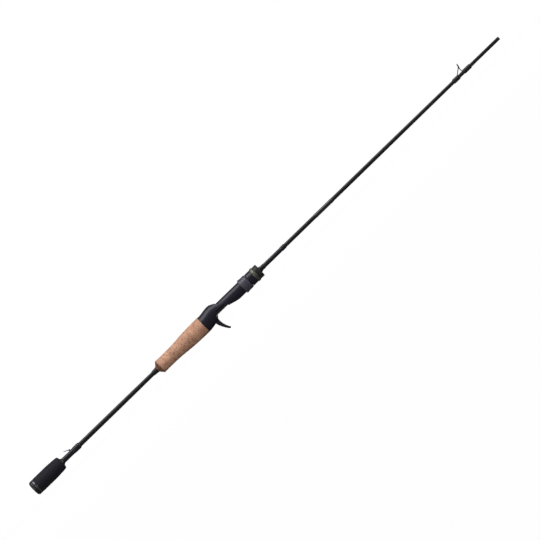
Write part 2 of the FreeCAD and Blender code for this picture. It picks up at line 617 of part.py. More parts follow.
def key_section(body, name, x, width, low, high):
    """Upright rectangle under the axis, across the rod at x, between two depths."""
    return outline(new_sketch(body, name, "YZ_Plane", Size.of(x)), [
        (-width / 2, -low), (width / 2, -low), (width / 2, -high), (-width / 2, -high)])


key_floor = d.thread_r - d.key_depth
slot = key_section(seat, "keyway_section", d.barrel_end + 0.2, d.key_w, d.thread_r + 0.5,
                   key_floor)
feature(seat, "Pocket", "keyway", slot, Length=d.seat_end - d.barrel_end, Reversed=True)

# thread: one ring groove, repeated at the pitch along the barrel
thread_start = d.barrel_end + d.thread_pitch
notch = outline(new_sketch(seat, "thread_groove_outline"), [
    (thread_start - 0.75, d.thread_r + 0.2), (thread_start - 0.2, d.thread_r - d.thread_depth),
    (thread_start + 0.2, d.thread_r - d.thread_depth), (thread_start + 0.75, d.thread_r + 0.2)])
groove = around(seat, "Groove", "thread_groove", notch)
rows = seat.newObject("PartDesign::LinearPattern", "thread")
rows.Originals = [groove]
rows.Direction = (notch, ["H_Axis"])
turns = int((d.seat_end.number - thread_start.number - 0.8) / d.thread_pitch.number) + 1
rows.Occurrences = turns
rows.setExpression("Length", (d.thread_pitch * (turns - 1)).text)
seat.Tip = rows
doc.recompute()
nodes.append(seat)

for name, rear, front in (("seat_arbor_rear", d.seat_x, d.arbor_rear_end),
                          ("seat_arbor_middle", d.arbor_mid_x, d.arbor_mid_end),
                          ("seat_arbor_front", d.arbor_front_x, d.seat_end)):
    collar(name, [(rear, d.seat_bore_r), (front, d.seat_bore_r)])
collar("blank_sleeve", [
    over(d.arbor_rear_end, d.window_sleeve_t), over(d.arbor_mid_x, d.window_sleeve_t)])

# --- sliding hood -----------------------------------------------------------------
hood = new_body("movable_hood")
hood_bore_r = d.barrel_r + d.run_gap
lip_end = d.hood_x + d.hood_lip_len
shell = outline(new_sketch(hood, "hood_outline"), [
    (d.hood_x, hood_bore_r), (d.hood_x, d.hood_lip_r - 0.5), (d.hood_x + 0.6, d.hood_lip_r),
    (lip_end, d.hood_lip_r), (lip_end + 1.6, d.hood_r), (d.hood_end - 0.9, d.hood_r),
    (d.hood_end, d.hood_r - 0.7), (d.hood_end, hood_bore_r)])
around(hood, "Revolution", "hood_shell", shell)
roof = outline(new_sketch(hood, "hood_pocket_outline"), [
    (d.hood_x - 1, d.barrel_r - 1), (d.hood_x - 1, d.hood_pocket_r),
    (d.hood_pocket_end, d.hood_pocket_r), (d.hood_pocket_end, d.barrel_r - 1)])
around(hood, "Groove", "hood_pocket", roof, d.hood_pocket_w, centred=True)
nodes.append(hood)

washer = new_body("hood_slip_washer")
washer_end = d.hood_end + d.washer_len
disc = outline(new_sketch(washer, "washer_outline"), [
    (d.hood_end, d.thread_r + d.run_gap), (d.hood_end, d.washer_r),
    (washer_end, d.washer_r), (washer_end, d.thread_r + d.run_gap)])
around(washer, "Revolution", "washer_disc", disc)
tab = key_section(washer, "washer_key_section", d.hood_end, d.key_w - d.key_gap * 2,
                  d.washer_r - 0.4, key_floor + d.key_gap)
feature(washer, "Pad", "washer_key", tab, Length=d.washer_len)
nodes.append(washer)

# --- lock nut ---------------------------------------------------------------------
turned("nut_core", [
    (d.nut_x, d.thread_r + d.run_gap), (d.nut_x, d.nut_core_r), (d.nut_end, d.nut_core_r),
    (d.nut_end, d.thread_r + d.run_gap)])
turned("nut_sleeve", [
    (d.nut_x, d.nut_core_r), (d.nut_x, d.sleeve_r - 0.5), (d.nut_x + 0.6, d.sleeve_r),
    (d.sleeve_end, d.sleeve_r), (d.sleeve_end, d.nut_core_r)])
ring_mid = (d.sleeve_end + d.nut_ring_end) / 2
turned("nut_trim_ring", [
    (d.sleeve_end, d.nut_core_r), (d.sleeve_end, d.nut_ring_edge_r - 0.2),
    (ring_mid - 2.2, d.nut_ring_edge_r), (ring_mid - 1.7, d.nut_ring_r),
    (ring_mid + 1.7, d.nut_ring_r), (ring_mid + 2.2, d.nut_ring_edge_r),
    (d.nut_ring_end, d.nut_ring_edge_r - 0.2), (d.nut_ring_end, d.nut_core_r)])
grip = turned("nut_grip", [
    (d.nut_ring_end, d.nut_core_r), (d.nut_ring_end, d.nut_grip_r - 0.3),
    (d.nut_ring_end + 0.5, d.nut_grip_r), (d.nut_end - 0.7, d.nut_grip_r),
    (d.nut_end, d.nut_grip_r - 0.5), (d.nut_end, d.nut_core_r)])
knurl_x = d.nut_ring_end + 0.9
flute_cut = outline(new_sketch(grip, "nut_flute_section", "YZ_Plane", knurl_x), [
    (-0.5, d.nut_grip_r + 0.2), (0, d.nut_grip_r - d.knurl_depth), (0.5, d.nut_grip_r + 0.2)])
flute = feature(grip, "Pocket", "nut_flute", flute_cut, Length=d.nut_end - knurl_x + 0.5,
                Reversed=True)
ring_of = grip.newObject("PartDesign::PolarPattern", "nut_knurl")
ring_of.Originals = [flute]
ring_of.Axis = (flute_cut, ["N_Axis"])
ring_of.Angle = 360
ring_of.setExpression("Occurrences", d.knurl_count.text)
grip.Tip = ring_of
doc.recompute()

# --- ahead of the reel seat -------------------------------------------------------
collar("front_check", [
    over(d.seat_end, d.front_check_t), over(d.seat_end + 1.0, d.front_check_t),
    over(d.front_check_end, d.front_check_nose_t)])
wrap("front_wrap_1", d.front_check_end, d.wrap_a_end, d.wrap_a_t, 1.8)
collar("front_wrap_2", [over(d.wrap_a_end, d.wrap_b_t), over(d.wrap_b_end, d.wrap_b_t)])
wrap("front_wrap_3", d.wrap_b_end, d.wrap_c_end, d.wrap_c_t, 2.6)
collar("label_sleeve", [
    over(d.label_x, d.label_t - 0.1), over(d.label_x + 1.5, d.label_t),
    over(d.label_end, d.label_t)])
wrap("label_end_band", d.label_end, d.band_end, d.band_t, 1.2)

# --- line guide -------------------------------------------------------------------
guide = new_body("guide_frame")


def leaning_sketch(body, name):
    """Sketch across the rod, leaning with the guide ring, its origin at the ring centre."""
    sketch = new_sketch(body, name, "YZ_Plane")
    sketch.AttachmentOffset = Placement(Vector(), Rotation(Vector(1, 0, 0), d.guide_lean.number))
    sketch.setExpression("AttachmentOffset.Rotation.Angle", d.guide_lean.text)
    sketch.setExpression("AttachmentOffset.Base.y", d.guide_z.text)
    sketch.setExpression("AttachmentOffset.Base.z", d.guide_x.text)
    doc.recompute()
    return sketch


def ring_sketch(body, name, outer, inner):
    """Two circles about the guide ring's centre."""
    sketch = leaning_sketch(body, name)
    for k, radius in enumerate((outer, inner)):
        sketch.addGeometry(Part.Circle(Vector(), Vector(0, 0, 1), radius.number), False)
        sketch.addConstraint(Sketcher.Constraint("Coincident", k, 3, -1, 1))
        bind(sketch, ("Radius", k), radius)
    doc.recompute()
    return sketch


rim = ring_sketch(guide, "guide_rim_circles", d.guide_frame_r, d.guide_seat_r)
feature(guide, "Pad", "guide_rim", rim, Length=d.guide_frame_t, Midplane=True)
foot_z = on_blank(d.guide_leg_x)[1] + d.guide_foot_t
arms = new_sketch(guide, "guide_arms_plan", "XY_Plane")
arms.AttachmentOffset = Placement(Vector(), Rotation(Vector(0, -1, 0), d.guide_leg_slope.number))
arms.setExpression("AttachmentOffset.Rotation.Angle", d.guide_leg_slope.text)
arms.setExpression("AttachmentOffset.Base.x", d.guide_leg_x.text)
arms.setExpression("AttachmentOffset.Base.z", (foot_z - d.guide_leg_t / 2).text)
far, near = d.guide_leg_w / 2, d.guide_foot_w / 2
outline(arms, [
    (-0.3, -near), (d.guide_leg_len, -far), (d.guide_leg_len, -far + d.guide_arm_w), (2.6, 0),
    (d.guide_leg_len, far - d.guide_arm_w), (d.guide_leg_len, far), (-0.3, near)])
feature(guide, "Pad", "guide_arms", arms, Length=d.guide_leg_t, Midplane=True)
foot_root_z = d.blank_r7 - 0.6
strut_top_z = d.guide_z - d.guide_seat_r - 0.1
half_leg = d.guide_leg_t / 2
strut = outline(new_sketch(guide, "guide_strut_side"), [
    (d.guide_strut_x - half_leg, foot_root_z),
    (d.guide_strut_x - half_leg - SKEW_W, strut_top_z),
    (d.guide_strut_x + half_leg - SKEW_W, strut_top_z), (d.guide_strut_x + half_leg, foot_z),
    (d.guide_front_end - 5, foot_z), (d.guide_front_end, foot_z - 0.5),
    (d.guide_front_end, foot_root_z)])
feature(guide, "Pad", "guide_strut", strut, Length=d.guide_foot_w, Midplane=True)
heel = outline(new_sketch(guide, "guide_heel_side"), [
    (d.guide_foot_x, foot_root_z), (d.guide_foot_x, foot_z - 0.5),
    (d.guide_foot_x + 5, foot_z), (d.guide_leg_x + 0.5, foot_z),
    (d.guide_leg_x + 1.0, foot_root_z)])
feature(guide, "Pad", "guide_heel", heel, Length=d.guide_foot_w, Midplane=True)
socket = leaning_sketch(guide, "guide_seat_circle")
socket.addGeometry(Part.Circle(Vector(), Vector(0, 0, 1), d.guide_seat_r.number), False)
socket.addConstraint(Sketcher.Constraint("Coincident", 0, 3, -1, 1))
bind(socket, ("Radius", 0), d.guide_seat_r)
feature(guide, "Pocket", "guide_seat", socket, Length=d.guide_insert_t + 0.6, Midplane=True)
saddle = outline(new_sketch(guide, "guide_saddle_outline"), [
    (d.guide_foot_x - 2, 0), on_blank(d.guide_foot_x - 2), on_blank(d.guide_front_end + 2),
    (d.guide_front_end + 2, 0)])
around(guide, "Groove", "guide_saddle", saddle)
nodes.append(guide)

insert = new_body("guide_ring_insert")
core = ring_sketch(insert, "guide_insert_circles", d.guide_seat_r, d.guide_hole_r)
feature(insert, "Pad", "guide_insert", core, Length=d.guide_insert_t, Midplane=True)
nodes.append(insert)

cut_by("guide_wrap_rear", wrap("guide_wrap_rear_skin", d.guide_wrap_x, d.guide_wrap_end,
                               d.guide_wrap_t), guide)
cut_by("guide_wrap_front", wrap("guide_wrap_front_skin", d.tip_wrap_x, d.tip_wrap_end,
                                d.tip_wrap_t), guide)

# --- checks and files -------------------------------------------------------------
doc.recompute()
for item in doc.Objects:
    if any(word in item.State for word in ("Invalid", "Error")):
        raise RuntimeError(f"{item.Name} did not build: {item.State}")
os.makedirs("parts", exist_ok=True)
for node in nodes:
    shape = node.Shape
    if shape.isNull() or not shape.isValid() or len(shape.Solids) != 1:
        raise RuntimeError(f"{node.Label}: bad shape, {len(shape.Solids)} solids")
    shape.exportStep(f"parts/{node.Label}.step")
    box = shape.BoundBox
    print(f"{node.Label:20s} {shape.Volume:10.1f} mm3  x {box.XMin:8.2f} {box.XMax:8.2f}"
          f"  y {box.YMin:6.2f} {box.YMax:6.2f}  z {box.ZMin:7.2f} {box.ZMax:7.2f}")
print(len(nodes), "pieces")
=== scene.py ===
"""Looks of a casting rod's butt section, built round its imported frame, in metres."""

import json
import math

import bmesh
import bpy
import numpy as np
from bpy.props import FloatProperty, FloatVectorProperty, IntProperty, PointerProperty
from mathutils import Matrix, Vector


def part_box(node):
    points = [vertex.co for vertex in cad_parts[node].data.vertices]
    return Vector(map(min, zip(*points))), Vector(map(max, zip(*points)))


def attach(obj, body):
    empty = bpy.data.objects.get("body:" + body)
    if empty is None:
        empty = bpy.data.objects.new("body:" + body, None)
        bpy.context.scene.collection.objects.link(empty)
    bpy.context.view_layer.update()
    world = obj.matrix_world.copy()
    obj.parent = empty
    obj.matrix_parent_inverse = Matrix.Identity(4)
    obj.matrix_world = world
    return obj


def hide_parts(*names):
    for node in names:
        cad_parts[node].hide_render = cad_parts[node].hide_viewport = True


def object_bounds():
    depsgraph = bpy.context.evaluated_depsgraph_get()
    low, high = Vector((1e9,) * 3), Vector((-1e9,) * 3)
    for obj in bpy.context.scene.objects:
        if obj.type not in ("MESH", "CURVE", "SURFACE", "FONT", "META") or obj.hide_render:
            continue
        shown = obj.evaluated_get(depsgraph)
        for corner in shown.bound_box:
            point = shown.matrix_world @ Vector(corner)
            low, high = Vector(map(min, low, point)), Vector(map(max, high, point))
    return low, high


bl_info = {
    "name": "Casting Rod Butt Section",
    "version": (1, 0, 0),
    "blender": (4, 5, 0),
    "location": "3D View > Sidebar > Rod",
    "description": "Cork, foam, thread, carbon and metal looks for a casting rod",
    "category": "Object",
}

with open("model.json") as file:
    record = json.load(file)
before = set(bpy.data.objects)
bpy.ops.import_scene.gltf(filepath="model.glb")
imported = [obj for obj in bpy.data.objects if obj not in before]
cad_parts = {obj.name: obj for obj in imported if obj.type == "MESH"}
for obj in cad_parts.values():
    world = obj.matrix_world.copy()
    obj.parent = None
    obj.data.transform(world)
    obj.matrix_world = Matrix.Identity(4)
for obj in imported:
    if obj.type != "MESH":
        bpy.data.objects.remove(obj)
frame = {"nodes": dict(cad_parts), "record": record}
CAD_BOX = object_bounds()
MM = 0.001
BODY_OF = {
    node: body
    for body, nodes in frame["record"]["behaviour"]["bodies"].items()
    for node in nodes
}
CORK_RINGS = sorted(node for node in frame["nodes"] if node.startswith("cork_ring_"))
THREAD_WRAPS = sorted(node for node in frame["nodes"] if "_wrap" in node)
CORNER_STEPS = 6  # rows round a turned piece's rounded corner
TURN = 2 * math.pi
MERGE_GAP = 1e-7  # points nearer than this are one, as at a pole
TINY = 1e-9  # keeps a division away from zero
NUDGE = 1e-4  # share of a node's length that a station keeps from its ends
NO_HOLLOW = 1e-3  # radius given to a cell that holds no hollow, in cells

# the cap's dished face: shares of the rim's radius, and of the dish's depth there
DISH_RADII = np.array([0, 0.4, 0.62, 0.72, 0.78, 0.82])
DISH_SINK = np.array([1, 1, 1, 0.85, 0.25, 0])
# even and odd cork rings: how far a pit is drawn out along and across the rod
PIT_STRETCH = np.array([[0.7, 1.2, 1.2], [1.3, 0.9, 0.9]])
# each cork ring's step through the noise, so that no two rings match
RING_SHIFT = np.array([0.031, 0.017, 0.023])

# the stage, in metres from the rod's middle
KEY_PLACE = Vector((-0.1, -0.4, 1.4))
KEY_LENGTH = 2.8
FILL_PLACE = (2.2, -1.5, 0.25)
FILL_LENGTH = 0.9
BOX_SHAPE = 0.35  # a soft box's width over its length
FLOOR_GAP = 1 * MM  # under the lowest piece
FLOOR_RADII = (0.05, 12.0)  # innermost and outermost ring
FLOOR_RINGS = 24
FLOOR_SIDES = 48
FLOOR_GLOW = 0.97  # as the camera sees it
FLOOR_BOUNCE = 0.16  # paleness of the floor to everything but the camera
VIEW_REACH = 100.0


# ---------------------------------------------------------------- measuring the frame


def outer_radius(node, stations):
    """A node's outer radius at each station along the rod.

    Every edge of its mesh that crosses a station meets it at a height and a depth, in
    proportion along the edge; the largest distance from the rod's axis is the radius.
    """
    mesh = frame["nodes"][node].data
    points = np.zeros(len(mesh.vertices) * 3)
    mesh.vertices.foreach_get("co", points)
    points = points.reshape(-1, 3)
    pairs = np.zeros(len(mesh.edges) * 2, int)
    mesh.edges.foreach_get("vertices", pairs)
    rear, front = points[pairs[0::2]], points[pairs[1::2]]
    swap = rear[:, :1] > front[:, :1]
    rear, front = np.where(swap, front, rear), np.where(swap, rear, front)
    low, high = points[:, 0].min(), points[:, 0].max()
    nudge = NUDGE * (high - low)
    spots = np.clip(np.asarray(stations, float), low + nudge, high - nudge)[:, None]
    span = np.maximum(front[:, 0] - rear[:, 0], TINY * MM)
    share = (spots - rear[:, 0]) / span
    depth = rear[:, 1] + share * (front[:, 1] - rear[:, 1])
    height = rear[:, 2] + share * (front[:, 2] - rear[:, 2])
    crossing = (share >= 0) & (share <= 1)
    return np.where(crossing, np.hypot(depth, height), 0).max(axis=1)


def reach(node):
    """The node's rear and front stations along the rod."""
    low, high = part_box(node)
    return low.x, high.x


# ---------------------------------------------------------------- steady random fields


def lattice(cells, seed):
    """A number from 0 to 1 for each whole-number cell, the same on every run.

    The three coordinates and the seed, each times a large odd number, are mixed bit by
    bit, and the last 24 bits are read as a fraction.
    """
    mixed = (cells[..., 0] * 73856093) ^ (cells[..., 1] * 19349663)
    mixed = mixed ^ (cells[..., 2] * 83492791) ^ (seed * 668265263)
    mixed = (mixed ^ (mixed >> 13)) * 1274126177
    mixed = mixed ^ (mixed >> 16)
    return (mixed & 0xFFFFFF) / 0xFFFFFF


def drift(points, size, seed):
    """Smooth noise from 0 to 1 with features of one size.

    The lattice numbers at a cell's eight corners are blended by 3t^2 - 2t^3 of the
    place within the cell.
    """
    spots = points / size
    cells = np.floor(spots).astype(np.int64)
    part = spots - cells
    part = part * part * (3 - 2 * part)
    total = np.zeros(points.shape[:-1])
    for step in np.ndindex(2, 2, 2):
        corner = np.array(step)
        weight = np.prod(np.where(corner, part, 1 - part), axis=-1)
        total += weight * lattice(cells + corner, seed)
    return total


def hollows(points, size, share, seed):
    """Scattered round hollows, 1 at a hollow's middle and 0 outside all of them.

    A share of the lattice cells holds one hollow, at a random place in the cell and
    0.25 to 0.55 of a cell in radius. Its depth is 1 minus the squared distance over
    the squared radius, and the deepest hollow counts.
    """
    spots = points / size
    cells = np.floor(spots).astype(np.int64)
    deepest = np.zeros(points.shape[:-1])
    for step in np.ndindex(3, 3, 3):
        cell = cells + np.array(step) - 1
        centre = np.stack([lattice(cell, seed + k) for k in (1, 2, 3)], axis=-1)
        radius = 0.25 + 0.3 * lattice(cell, seed + 4)
        radius = np.where(lattice(cell, seed + 5) < share, radius, NO_HOLLOW)
        apart = np.sum((spots - cell - centre) ** 2, axis=-1)
        deepest = np.maximum(deepest, 1 - apart / radius**2)
    return deepest


# ---------------------------------------------------------------- turned surfaces


def rounded_ends(node, step, corner):
    """Stations along a node and its outer radius there, with both ends rounded off.

    Near an end the radius drops by corner - sqrt(corner^2 - (corner - distance)^2), a
    quarter circle, and the stations there are spaced by the circle's angle.
    """
    rear, front = reach(node)
    arc = corner * (1 - np.cos(np.linspace(0, math.pi / 2, CORNER_STEPS)))
    count = max(2, int(round((front - rear - 2 * corner) / step)))
    middle = np.linspace(rear + corner, front - corner, count + 1)[1:-1]
    stations = np.concatenate([rear + arc, middle, front - arc[::-1]])
    distance = np.minimum(np.minimum(stations - rear, front - stations), corner)
    drop = corner - np.sqrt(np.maximum(corner**2 - (corner - distance) ** 2, 0))
    return stations, outer_radius(node, stations) - drop


def with_bore(stations, radii, bore):
    """The closed profile of a ring: its outside, and a bore with a radius at each end."""
    stations = np.concatenate([stations[:1], stations, stations[-1:]])
    radii = np.concatenate([[bore[0]], radii, [bore[1]]])
    return stations, radii


def turned_grid(stations, radii, around):
    """Points of a profile carried round the rod, and each point's angle.

    Row i, column j is at station i along X, with depth radius * cos(angle) and height
    radius * sin(angle), the angles shared out evenly.
    """
    angles = np.linspace(0, TURN, around, endpoint=False)[None, :] + 0 * radii[:, None]
    across = radii[:, None]
    along = np.broadcast_to(stations[:, None], angles.shape)
    grid = np.stack([along, across * np.cos(angles), across * np.sin(angles)], axis=-1)
    return grid, angles


def push_out(grid, lift):
    """The grid with each point moved away from the rod's axis by its own lift."""
    radial = grid.copy()
    radial[..., 0] = 0
    size = np.maximum(np.linalg.norm(radial, axis=-1, keepdims=True), TINY)
    return grid + radial / size * lift[..., None]


def skin(name, grid, ring=True, marks=None):
    """A mesh object from a grid of points that closes on itself round the rod.

    Each four neighbours make a face. A ring's last row joins its first, and a solid's
    end rows close on the axis. Faces are turned outwards by the sign of the volume,
    the sum of each face's corner products over six.
    """
    rows, columns = grid.shape[:2]
    index = np.arange(rows * columns).reshape(rows, columns)
    if ring:
        index = np.vstack([index, index[:1]])
    side = np.roll(index, -1, axis=1)
    faces = np.stack([index[:-1], index[1:], side[1:], side[:-1]], axis=-1)
    faces = faces.reshape(-1, 4)
    points = grid.reshape(-1, 3)
    a, b, c, d = (points[faces[:, k]] for k in range(4))
    volume = np.sum(a * np.cross(b, c)) + np.sum(a * np.cross(c, d))
    if volume < 0:
        faces = faces[:, ::-1]
    mesh = bpy.data.meshes.new(name)
    mesh.from_pydata(points, [], faces)
    for mark, values in (marks or {}).items():
        made = mesh.attributes.new(mark, "FLOAT", "POINT")
        made.data.foreach_set("value", values.astype(np.float32).ravel())
    if not ring:
        close_poles(mesh)
    mesh.shade_smooth()
    piece = bpy.data.objects.new(name, mesh)
    bpy.context.scene.collection.objects.link(piece)
    return piece


def close_poles(mesh):
    """Merge the points that share a place, so that an end row on the axis is one point."""
    work = bmesh.new()
    work.from_mesh(mesh)
    bmesh.ops.remove_doubles(work, verts=work.verts, dist=MERGE_GAP)
    work.to_mesh(mesh)
    work.free()


def sharpen(piece, degrees):
    """Faces that meet at more than this angle keep a crisp edge."""
    piece.data.set_sharp_from_angle(angle=math.radians(degrees))


def settle(piece, finish, *nodes):
    """Give a piece its finish and the body of its nodes, and hide the nodes."""
    piece.data.materials.clear()
    piece.data.materials.append(finish)
    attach(piece, BODY_OF[nodes[0]])
    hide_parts(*nodes)


def refinish(finish, *nodes):
    """Give nodes that stay as they are a new finish."""
    for node in nodes:
        for holder in frame["nodes"][node].material_slots:
            holder.material = finish


def turned_piece(name, node, finish, step, corner, around, relief=None, mark=None):
    """A ring turned to the node's own outline, with a relief pushed into its outside.

    The relief is a lift at each outside point, faded out over the rounded corners so
    that the ends stay true. Its values are kept as a mark when one is named.
    """
    stations, radii = rounded_ends(node, step, corner)
    bore = outer_radius("blank", stations[[0, -1]])
    stations, radii = with_bore(stations, radii, bore)
    grid, angles = turned_grid(stations, radii, around)
    marks = {}
    if relief is not None:
        rear, front = reach(node)
        distance = np.minimum(grid[..., 0] - rear, front - grid[..., 0])
        fade = np.clip(distance / corner, 0, 1)
        lift, shown = relief(grid, angles)
        grid = push_out(grid, lift * fade)
        if mark:
            marks[mark] = shown
    piece = skin(name, grid, marks=marks)
    settle(piece, finish, node)
    return piece


# ---------------------------------------------------------------- finishes


class Value:
    """A number that varies over a surface. Its arithmetic adds Math nodes."""

    def __init__(self, finish, socket):
        self.finish = finish
        self.socket = socket

    def __add__(self, other):
        return self.finish.maths("ADD", self, other)

    __radd__ = __add__

    def __sub__(self, other):
        return self.finish.maths("SUBTRACT", self, other)

    def __rsub__(self, other):
        return self.finish.maths("SUBTRACT", other, self)

    def __mul__(self, other):
        return self.finish.maths("MULTIPLY", self, other)

    __rmul__ = __mul__

    def __truediv__(self, other):
        return self.finish.maths("DIVIDE", self, other)


class Finish:
    """A material being put together on a piece's own coordinates, in metres."""

    def __init__(self, name):
        self.material = bpy.data.materials.new(name)
        self.material.use_nodes = True
        self.tree = self.material.node_tree
        self.shader = self.tree.nodes["Principled BSDF"]
        self.place = self.node("TexCoord", outlet="Object")

    def node(self, kind, settings=None, sockets=None, outlet=0):
        """Add a node of a type: its settings first, then its sockets' values or links."""
        made = self.tree.nodes.new("ShaderNode" + kind)
        for name, value in (settings or {}).items():
            setattr(made, name, value)
        for name, value in (sockets or {}).items():
            self.join(made.inputs[name], value)
        return Value(self, made.outputs[outlet])

    def join(self, socket, value):
        """Link a varying value to a socket, or set a constant on it."""
        if isinstance(value, Value):
            self.tree.links.new(value.socket, socket)
        elif socket.type == "RGBA":
            socket.default_value = (*value, 1.0)
        else:
            socket.default_value = value

    def maths(self, operation, a, b):
        return self.node("Math", {"operation": operation}, {0: a, 1: b})

    def blend(self, share, a, b):
        """Colour a where share is 0, colour b where it is 1."""
        settings = {"data_type": "RGBA"}
        return self.node("Mix", settings, {0: share, 6: a, 7: b}, outlet=2)

    def step(self, value, low, high):
        """0 below low, 1 above high, smooth between."""
        settings = {"interpolation_type": "SMOOTHSTEP"}
        sockets = {"Value": value, "From Min": low, "From Max": high}
        return self.node("MapRange", settings, sockets)

    def noise(self, size, stretch=(1, 1, 1), detail=3.0, roughness=0.55):
        """Noise with features of one size, each axis drawn out by its stretch."""
        scale = tuple(1 / s for s in stretch)
        spot = self.node("Mapping", None, {"Vector": self.place, "Scale": scale})
        sockets = {
            "Vector": spot,
            "Scale": 1 / size,
            "Detail": detail,
            "Roughness": roughness,
        }
        return self.node("TexNoise", None, sockets)

    def grains(self, size, feature="F1", outlet="Distance"):
        """Cells of one size: the distance to a cell's middle, or its own colour."""
        sockets = {"Vector": self.place, "Scale": 1 / size}
        return self.node("TexVoronoi", {"feature": feature}, sockets, outlet)

    def around(self):
        """The share of a turn round the rod, from 0 to 1."""
        parts = {"Vector": self.place}
        depth = self.node("SeparateXYZ", None, parts, "Y")
        height = self.node("SeparateXYZ", None, parts, "Z")
        return self.maths("ARCTAN2", height, depth) / TURN + 0.5

    def along(self):
        """The distance along the rod, in metres."""
        return self.node("SeparateXYZ", None, {"Vector": self.place}, "X")

    def mark(self, name):
        """A number that the piece's mesh carries at each point."""
        return self.node("Attribute", {"attribute_name": name}, None, "Fac")

    def bump(self, height, depth, base=None):
        """A normal tilted by a height from 0 to 1 that stands for a depth in metres."""
        sockets = {"Height": height, "Distance": depth}
        if base is not None:
            sockets["Normal"] = base
        return self.node("Bump", None, sockets)

    def eased(self, radius):
        """A normal that rounds every edge by a radius."""
        return self.node("Bevel", {"samples": 6}, {"Radius": radius})

    def coat(self, **sockets):
        """Set the shader's sockets, named with underscores for spaces, and finish."""
        for name, value in sockets.items():
            self.join(self.shader.inputs[name.replace("_", " ")], value)
        return self.material


def tint(colour, factor):
    """A colour made lighter or darker."""
    return tuple(channel * factor for channel in colour)


def carbon_finish(colour, gloss):
    """Varnished carbon: fibres along the tube, and the faint spiral of its wrapping."""
    f = Finish("carbon_varnished")
    fibres = f.noise(0.16 * MM, stretch=(40, 1, 1), detail=2)
    patches = f.noise(9 * MM, stretch=(3, 1, 1), detail=2)
    spiral = f.maths("FRACT", f.along() / (2.6 * MM) + f.around(), 0)
    ridge = f.step(f.maths("ABSOLUTE", spiral - 0.5, 0), 0.3, 0.5)
    shade = f.step(fibres * 0.7 + patches * 0.3, 0.32, 0.68)
    base = f.blend(shade, tint(colour, 0.6), tint(colour, 1.7))
    return f.coat(
        Base_Color=base,
        Roughness=gloss + 0.10 * shade,
        Normal=f.bump(ridge * 0.7 + fibres * 0.3, 0.006 * MM),
        Specular_IOR_Level=0.3,
        Coat_Weight=0.2,
        Coat_Roughness=0.18,
    )


def ground_finish(colour):
    """Ground carbon: fine rings left by the grinding, duller than the varnish."""
    f = Finish("carbon_ground")
    rings = f.noise(0.10 * MM, stretch=(1, 60, 60), detail=2)
    patches = f.noise(5 * MM, detail=2)
    shade = f.step(rings * 0.7 + patches * 0.3, 0.3, 0.7)
    return f.coat(
        Base_Color=f.blend(shade, tint(colour, 0.8), tint(colour, 1.6)),
        Roughness=0.42 + 0.14 * shade,
        Normal=f.bump(rings, 0.004 * MM),
        Specular_IOR_Level=0.2,
    )


def thread_finish(name, colour, painted_crown_highlight):
    """Wound nylon thread under varnish: each turn's crown is painted lighter, a painted
    highlight, over random strands and clouds.
    """
    f = Finish(name)
    crown = f.mark("crown")
    strands = f.noise(0.07 * MM, stretch=(1, 9, 9), detail=2)
    clouds = f.noise(3.5 * MM, detail=2)
    # painted highlight: the crown of each turn lifts the colour towards the crown colour;
    # strands and clouds add random tone
    shade = f.step(crown * 0.55 + strands * 0.3 + clouds * 0.25, 0.25, 0.95)
    return f.coat(
        Base_Color=f.blend(shade, tint(colour, 0.45), painted_crown_highlight),
        Roughness=0.38 - 0.12 * shade,
        Normal=f.bump(clouds, 0.03 * MM),
        Specular_IOR_Level=0.3,
        Coat_Weight=0.3,
        Coat_Roughness=0.18,
    )


def sleeve_finish(colour):
    """Clear varnish poured over the tube: slow waves in it, and fibres under it."""
    f = Finish("clear_sleeve")
    waves = f.noise(4 * MM, stretch=(2, 1, 1), detail=1)
    fibres = f.noise(0.16 * MM, stretch=(40, 1, 1), detail=2)
    shade = f.step(fibres, 0.35, 0.7)
    return f.coat(
        Base_Color=f.blend(shade, tint(colour, 0.5), tint(colour, 1.4)),
        Roughness=0.22 + 0.06 * shade,
        Normal=f.bump(waves, 0.05 * MM),
        Coat_Weight=1.0,
        Coat_Roughness=0.04,
    )


def foam_finish(colour):
    """Closed-cell foam: a fine pebble, painted darker in its hollows and lighter on its
    ridges as painted shade and highlight, with random clouds and a faint bloom.
    """
    f = Finish("foam_closed_cell")
    cells = f.grains(0.28 * MM)
    clouds = f.noise(6 * MM, detail=3)
    fine = f.noise(0.12 * MM, detail=2)
    # painted shade and highlight: the cells that raise the bump also darken the colour in
    # the hollows and lighten it on the ridges; clouds add random tone
    shade = f.step(cells * 0.6 + clouds * 0.5 + fine * 0.2, 0.3, 0.95)
    return f.coat(
        Base_Color=f.blend(shade, tint(colour, 0.5), tint(colour, 2.6)),
        Roughness=0.62 + 0.2 * shade,
        Normal=f.bump(cells * 0.7 + fine * 0.3, 0.16 * MM),
        Sheen_Weight=0.04,
        Sheen_Roughness=0.5,
        Specular_IOR_Level=0.26,
    )


def rubber_finish(name, colour, roughness, edge):
    """Moulded rubber: a fine even grain, and edges eased by a bevelled normal."""
    f = Finish(name)
    grain = f.noise(0.22 * MM, detail=3)
    clouds = f.noise(7 * MM, detail=2)
    shade = f.step(grain * 0.5 + clouds * 0.5, 0.3, 0.7)
    return f.coat(
        Base_Color=f.blend(shade, tint(colour, 0.75), tint(colour, 1.35)),
        Roughness=roughness + 0.12 * shade,
        Normal=f.bump(grain, 0.02 * MM, f.eased(edge)),
        Specular_IOR_Level=0.45,
    )


def lathe_finish(name, colour, roughness, edge):
    """Turned metal: hairline rings round the axis, and a slightly eased edge."""
    f = Finish(name)
    lines = f.noise(0.05 * MM, stretch=(1, 400, 400), detail=3, roughness=0.7)
    smudge = f.noise(4 * MM, detail=3)
    shade = f.step(lines * 0.7 + smudge * 0.3, 0.3, 0.7)
    return f.coat(
        Base_Color=f.blend(shade, tint(colour, 0.82), tint(colour, 1.12)),
        Roughness=roughness + 0.14 * shade,
        Metallic=1.0,
        Normal=f.bump(lines, 0.004 * MM, f.eased(edge)),
    )


